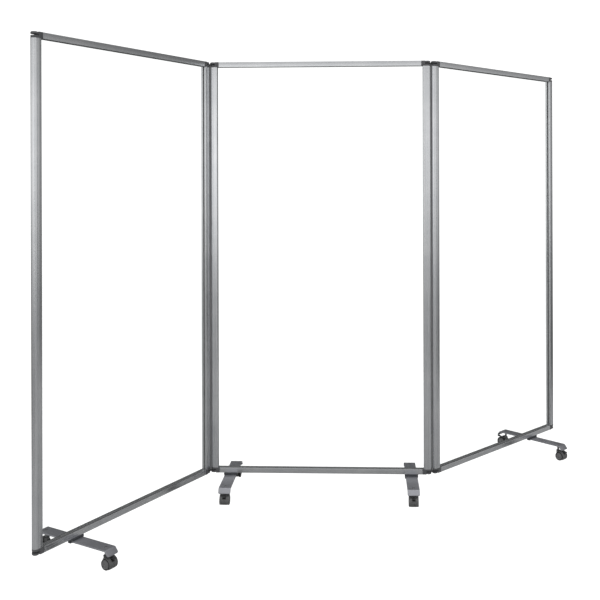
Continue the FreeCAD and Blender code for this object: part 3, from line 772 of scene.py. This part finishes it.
def repaint(node, material):
    """A CAD node keeps its shape and gets this material in every slot."""
    for slot in frame["nodes"][node].material_slots:
        slot.material = material


def spin(side):
    """Half a turn about z for the right hand side."""
    return Matrix.Rotation(math.pi if side > 0 else 0, 4, "Z")


def upside_down(height):
    """Turned over about x, at this height."""
    return Matrix.Translation((0, 0, height)) @ Matrix.Rotation(math.pi, 4, "X")


def add_frame(section):
    """The four extrusions of a section; its panel and gasket keep their CAD shape."""
    place = section_place[section]
    upright = anodised_aluminium(f"{section}_stile_aluminium", "z")
    level = anodised_aluminium(f"{section}_rail_aluminium", "x")
    for name, side in SIDES.items():
        foot = Matrix.Translation((side * half_span, 0, frame_bottom + RAIL_HEIGHT * MM))
        add_piece(f"{section}_{name}_stile_extrusion", stile, place @ foot @ spin(side), section,
                  upright, (f"{section}_{name}_stile",))
    heights = {"bottom": Matrix.Translation((0, 0, frame_bottom)), "top": upside_down(frame_top)}
    for name, height in heights.items():
        add_piece(f"{section}_{name}_rail_extrusion", rail, place @ height, section,
                  level, (f"{section}_{name}_rail",))
    repaint(f"{section}_panel", materials["panel"])
    repaint(f"{section}_gasket", materials["gasket"])


def add_caps(section):
    for name, side in SIDES.items():
        for level, height in (("bottom", frame_bottom), ("top", frame_top)):
            at_nose = Matrix.Translation((side * half_span, 0, height))
            flip = Matrix.Rotation(math.pi if level == "top" else 0, 4, "X")
            place = section_place[section] @ at_nose @ spin(side) @ flip
            add_piece(f"{section}_{name}_{level}_cap", cap, place, section,
                      materials["cap"], (f"{section}_corner_caps",))


def add_hinge(side):
    """Link plates, gap strip and pins between the centre section and one wing."""
    body = f"{side}_hinge"
    first, second = pivots[side]
    place = placement(first, second - first)
    inset_height = (RAIL_HEIGHT - LINK_THICKNESS) / 2 * MM
    plates = {"bottom": frame_bottom + inset_height,
              "top": frame_top - inset_height - LINK_THICKNESS * MM}
    for level, height in plates.items():
        add_piece(f"{side}_hinge_{level}_link", link, place @ Matrix.Translation((0, 0, height)), body,
                  materials["link"], (f"{side}_hinge_links",))
    strip_base = plates["bottom"] + LINK_THICKNESS * MM
    add_piece(f"{side}_hinge_strip", gap_strip, place @ Matrix.Translation((0, 0, strip_base)), body,
              materials["strip"], (f"{side}_hinge_gap_strip",))
    reach = (PIN_LENGTH + PIN_RECESS) * MM
    up = Matrix.Translation((0, 0, frame_top - reach))
    down = upside_down(frame_bottom + reach)
    for number in (0, 1):
        shift = Matrix.Translation((number * PIVOT_SPACING * MM, 0, 0))
        for level, height in (("bottom", down), ("top", up)):
            add_piece(f"{side}_hinge_{level}_pin_{number + 1}", pin, place @ shift @ height, body,
                      materials["pin"], (f"{side}_hinge_pins",))


def add_leg(section, key):
    """One leg with its clamp, bolts and the stems of its two casters."""
    where = leg_name(section, key)
    place = placement(leg_middle(where), along[section])
    plural = "s" if section == "centre" else ""
    add_piece(f"{where}_leg_strip", leg, place, section, materials["leg"],
              (f"{section}_leg{plural}",))
    add_piece(f"{where}_leg_saddle", clamp, place, section, materials["clamp"],
              (f"{section}_leg_clamp{plural}",))
    for name, side in SIDES.items():
        under_strip = Matrix.Translation(Vector((side * BOLT_OFFSET, 0, LEG_TOP - LEG_THICKNESS)) * MM)
        add_piece(f"{where}_leg_bolt_{name}", bolt, place @ under_strip, section,
                  materials["bolt"])
    for end in ENDS:
        stem_place = placement(on_floor(f"swivel_{where}_{end}"), along[section])
        add_piece(f"{where}_{end}_stem", stem, stem_place, section, materials["stem"],
                  (f"{section}_caster_stems",))


def add_caster(where):
    """One caster, its brake pointing from its stem over its axle."""
    stem_foot = on_floor(f"swivel_{where}")
    outward = on_floor(f"roll_{where}") - stem_foot
    place = placement(stem_foot, Vector((outward.y, -outward.x, 0)))
    pieces = (("cover", hood, "hood", "caster_plastic", "hood"),
              ("treads", tread, "wheels", "wheel_plastic", "tread"),
              ("hubs", hub, "wheels", "wheel_plastic", "hub"),
              ("pedal", brake, "brake", "brake_plastic", "brake"))
    for name, mesh, part, slot, material in pieces:
        body = f"caster_{part}_{where}"
        add_piece(f"caster_{name}_{where}", mesh, place, body, materials[material], (body,))


stile = stile_mesh((frame_top - frame_bottom) / MM - 2 * RAIL_HEIGHT)
rail = rail_mesh(section_width / MM - 2 * CAP_LENGTH)
cap = cap_mesh()
link = link_mesh()
pin = pin_mesh()
gap_strip = gap_strip_mesh((frame_top - frame_bottom) / MM - RAIL_HEIGHT - LINK_THICKNESS)
leg = leg_mesh()
clamp = clamp_mesh()
stem = stem_mesh()
bolt = bolt_mesh()
hood = hood_mesh()
tread = tread_mesh()
hub = hub_mesh()
brake = brake_mesh()

for section_name, keys in LEGS.items():
    add_frame(section_name)
    add_caps(section_name)
    for leg_key in keys:
        add_leg(section_name, leg_key)
        for end_name in ENDS:
            add_caster(f"{leg_name(section_name, leg_key)}_{end_name}")
for side_name in SIDES:
    add_hinge(side_name)


# ---------------------------------------------------------------- stage, light and camera

WHITE = (1, 1, 1, 1)
BACKDROP_STRENGTH = 1.15
FLOOR_RADIUS = 9000
FLOOR_GLOW = 1.05
FLOOR_FADE = (1.3, 3.6)  # metres from the middle between which the floor fades out
FLOOR_PAINTED_SHADE = ((0.6, 1.7), (0.5, 0.65))  # metres from the middle, and the greys there in light and mirrors: painted shade, greyer near the divider than further out


def map_range(tree, source, target=(0, 1), smooth=False):
    """A node that maps the span source onto the span target."""
    node = tree.nodes.new("ShaderNodeMapRange")
    node.interpolation_type = "SMOOTHSTEP" if smooth else "LINEAR"
    for socket, value in zip(("From Min", "From Max", "To Min", "To Max"), (*source, *target)):
        node.inputs[socket].default_value = value
    return node


def add_floor():
    """Pale round floor that fades out into the white surround; a grey one for light and reflections, with
    painted shade that makes it greyer near the divider than further out.
    """
    outline = arc((0, 0), FLOOR_RADIUS, 0, 360, 95)[:-1]
    mesh = new_mesh("floor", [(x, y, 0) for x, y in outline], [tuple(range(len(outline)))])
    floor = bpy.data.objects.new("floor", mesh)
    bpy.context.scene.collection.objects.link(floor)
    material = bpy.data.materials.new("pale_floor")
    material.use_nodes = True
    tree = material.node_tree
    pale = tree.nodes["Principled BSDF"]
    pale.inputs["Base Color"].default_value = (0.3, 0.3, 0.3, 1)
    pale.inputs["Roughness"].default_value = 0.9
    pale.inputs["Specular IOR Level"].default_value = 0
    pale.inputs["Emission Color"].default_value = WHITE
    pale.inputs["Emission Strength"].default_value = FLOOR_GLOW
    dim = tree.nodes.new("ShaderNodeBsdfDiffuse")
    # painted shade: the floor that lights and mirrors the divider is greyer close to its middle
    shade = map_range(tree, *FLOOR_PAINTED_SHADE)
    path = tree.nodes.new("ShaderNodeLightPath")
    mirrored = tree.nodes.new("ShaderNodeMixShader")
    clear = tree.nodes.new("ShaderNodeBsdfTransparent")
    fade = tree.nodes.new("ShaderNodeMixShader")
    geometry = tree.nodes.new("ShaderNodeNewGeometry")
    distance = tree.nodes.new("ShaderNodeVectorMath")
    distance.operation = "LENGTH"
    spread = map_range(tree, FLOOR_FADE, smooth=True)
    links = (
        (path.outputs["Is Camera Ray"], mirrored.inputs[0]),
        (dim.outputs[0], mirrored.inputs[1]),
        (pale.outputs[0], mirrored.inputs[2]),
        (geometry.outputs["Position"], distance.inputs[0]),
        (distance.outputs["Value"], spread.inputs["Value"]),
        (distance.outputs["Value"], shade.inputs["Value"]),
        (shade.outputs[0], dim.inputs["Color"]),
        (spread.outputs[0], fade.inputs[0]),
        (mirrored.outputs[0], fade.inputs[1]),
        (clear.outputs[0], fade.inputs[2]),
        (fade.outputs[0], tree.nodes["Material Output"].inputs["Surface"]),
    )
    connect(tree, links)
    mesh.materials.append(material)


# The room that lights and mirrors in the object: brightness by the sine of the elevation, and its strength
# from behind the object to in front of it, by how far back a direction points.
ROOM = ((-1.0, 0.3), (-0.4, 0.3), (-0.22, 0.18), (-0.1, 0.36), (0.0, 1.0),
        (0.1, 0.95), (0.15, 0.5), (0.4, 0.45), (0.75, 0.9), (1.0, 0.9))
ROOM_DEPTH = ((0.5, -0.25), (0.2, 1.1))


def add_surround():
    """White behind the object; for light and reflections, a room that is brightest in front."""
    world = bpy.data.worlds.new("surround")
    bpy.context.scene.world = world
    world.use_nodes = True
    tree = world.node_tree
    white = tree.nodes["Background"]
    white.inputs["Color"].default_value = WHITE
    white.inputs["Strength"].default_value = BACKDROP_STRENGTH
    room = tree.nodes.new("ShaderNodeBackground")
    coordinates = tree.nodes.new("ShaderNodeTexCoord")
    parts = tree.nodes.new("ShaderNodeSeparateXYZ")
    elevation = map_range(tree, (-1, 1))
    ramp = tree.nodes.new("ShaderNodeValToRGB")
    stops = ramp.color_ramp.elements
    while len(stops) < len(ROOM):
        stops.new(0.5)
    for stop, (sine, level) in zip(stops, ROOM):
        stop.position = (sine + 1) / 2
        stop.color = (level, level, level, 1)
    front = map_range(tree, *ROOM_DEPTH, smooth=True)
    path = tree.nodes.new("ShaderNodeLightPath")
    mix = tree.nodes.new("ShaderNodeMixShader")
    links = (
        (coordinates.outputs["Generated"], parts.inputs[0]),
        (parts.outputs["Z"], elevation.inputs["Value"]),
        (elevation.outputs[0], ramp.inputs[0]),
        (ramp.outputs[0], room.inputs["Color"]),
        (parts.outputs["Y"], front.inputs["Value"]),
        (front.outputs[0], room.inputs["Strength"]),
        (path.outputs["Is Camera Ray"], mix.inputs[0]),
        (room.outputs[0], mix.inputs[1]),
        (white.outputs[0], mix.inputs[2]),
        (mix.outputs[0], tree.nodes["World Output"].inputs["Surface"]),
    )
    connect(tree, links)


def add_softbox(name, centre, target, size, brightness):
    """A rectangular light; brightness is what a mirror would show of it."""
    light = bpy.data.lights.new(name, "AREA")
    light.shape = "RECTANGLE"
    light.size, light.size_y = size
    light.energy = brightness * math.pi * size[0] * size[1]
    lamp = bpy.data.objects.new(name, light)
    bpy.context.scene.collection.objects.link(lamp)
    lamp.location = centre
    lamp.rotation_euler = (Vector(target) - Vector(centre)).to_track_quat("-Z", "Y").to_euler()
    lamp.visible_camera = False


# The camera that lines up with the photographed view: its place from the centre section's middle on the
# floor, and its yaw, pitch and roll in degrees.
CAMERA_STAND = (0.192, -3.667, 1.344)
CAMERA_TURN = (2.139, 0.047, -0.168)
CAMERA_LENS = 51.67
CAMERA_SHIFT = (-0.0548, -0.2085)


def add_camera():
    """Eye height camera, level, with its view shifted down and left onto the divider."""
    data = bpy.data.cameras.new("camera")
    data.sensor_width = 36
    data.lens = CAMERA_LENS
    data.shift_x, data.shift_y = CAMERA_SHIFT
    camera = bpy.data.objects.new("camera", data)
    bpy.context.scene.collection.objects.link(camera)
    yaw, pitch, roll = (math.radians(angle) for angle in CAMERA_TURN)
    turn = (Matrix.Rotation(yaw, 4, "Z") @ Matrix.Rotation(math.pi / 2 + pitch, 4, "X")
            @ Matrix.Rotation(roll, 4, "Z"))
    camera.matrix_world = Matrix.Translation(middle["centre"] + Vector(CAMERA_STAND)) @ turn
    bpy.context.scene.camera = camera


add_floor()
add_surround()
add_softbox("key", (-1.3, -4.6, 1.4), (-0.6, 0, 1.3), (2.0, 1.5), 0.35)
add_softbox("overhead", (0, 0.2, 4.2), (0, 0, 0), (4.5, 3.5), 0.4)
add_camera()
bpy.context.scene.view_settings.view_transform = "Standard"
